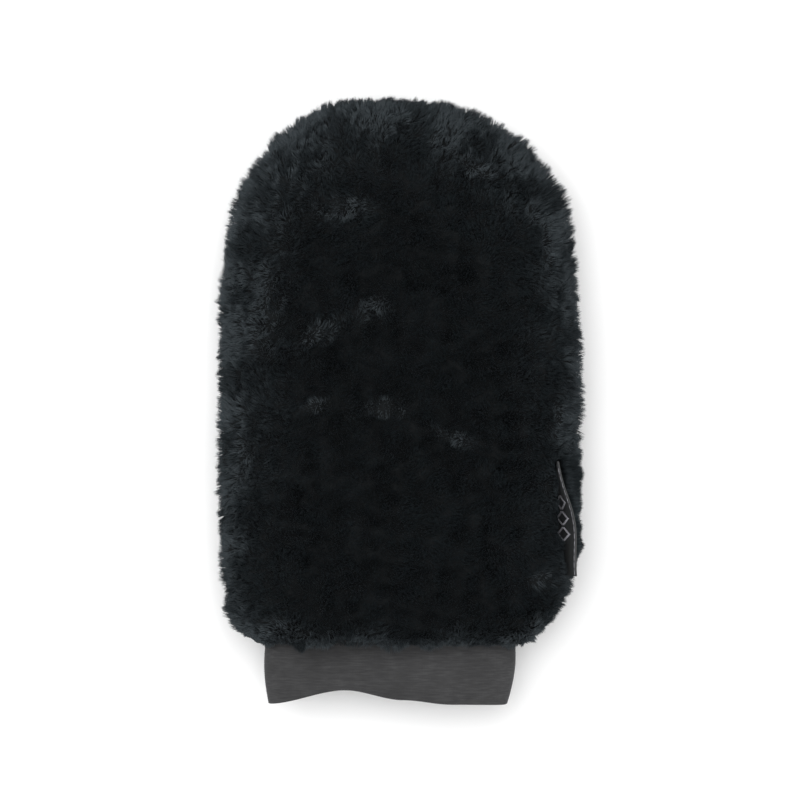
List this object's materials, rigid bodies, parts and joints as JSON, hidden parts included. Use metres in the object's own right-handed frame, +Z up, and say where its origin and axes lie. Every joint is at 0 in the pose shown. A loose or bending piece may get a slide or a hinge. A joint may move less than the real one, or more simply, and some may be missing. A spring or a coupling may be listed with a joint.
{
  "type": "wash mitt",
  "caption": "Long plush wash mitt, rounded at the finger end, with a lined hand pocket, an elastic webbing cuff and a folded ribbon label sewn in one side seam.",
  "frame": {"origin": "on the plane the mitt lies on, under the middle of its outline", "axes": "+X across the hand towards the side with the label, +Y towards the finger tips, +Z up through the back of the hand"},
  "size_m": [0.1872, 0.31, 0.054],
  "materials": {
    "pile": "black dense plush pile, matt with a faint cool sheen on the fibre sides",
    "ground_cloth": "black knitted ground cloth",
    "lining": "dark smooth woven lining",
    "webbing": "charcoal woven elastic with fine lines along its length, matt",
    "thread": "black polyester sewing thread",
    "label_ribbon": "dark satin ribbon, soft gloss",
    "label_motif": "light grey woven pattern"
  },
  "bodies": {
    "mitt": {"front_pile": "pile", "back_pile": "pile", "front_backing": "ground_cloth", "back_backing": "ground_cloth", "front_lining": "lining", "back_lining": "lining", "perimeter_seam_thread": "thread", "lining_seam_thread": "thread", "cuff_sewn_edge": "webbing", "cuff_back": "webbing", "cuff_seam_thread_front": "thread", "cuff_seam_thread_back": "thread", "cuff_closing_thread": "thread", "label_sewn_end": "label_ribbon", "label_stitching": "thread"},
    "cuff": {"cuff_front": "webbing"},
    "label": {"label_ribbon": "label_ribbon", "label_motif": "label_motif"}
  },
  "joints": [
    {"name": "cuff_open", "type": "hinge", "parent": "mitt", "child": "cuff", "pos_m": [-0.005, -0.1224, 0.0312], "axis": [-1, 0, 0], "range_deg": [0, 25], "stiffness_Nm_per_rad": 0.02},
    {"name": "label_flip", "type": "hinge", "parent": "mitt", "child": "label", "pos_m": [0.0783, -0.06, 0.024], "axis": [0, 1, 0], "range_deg": [-20, 55], "stiffness_Nm_per_rad": 0.0006}
  ]
}
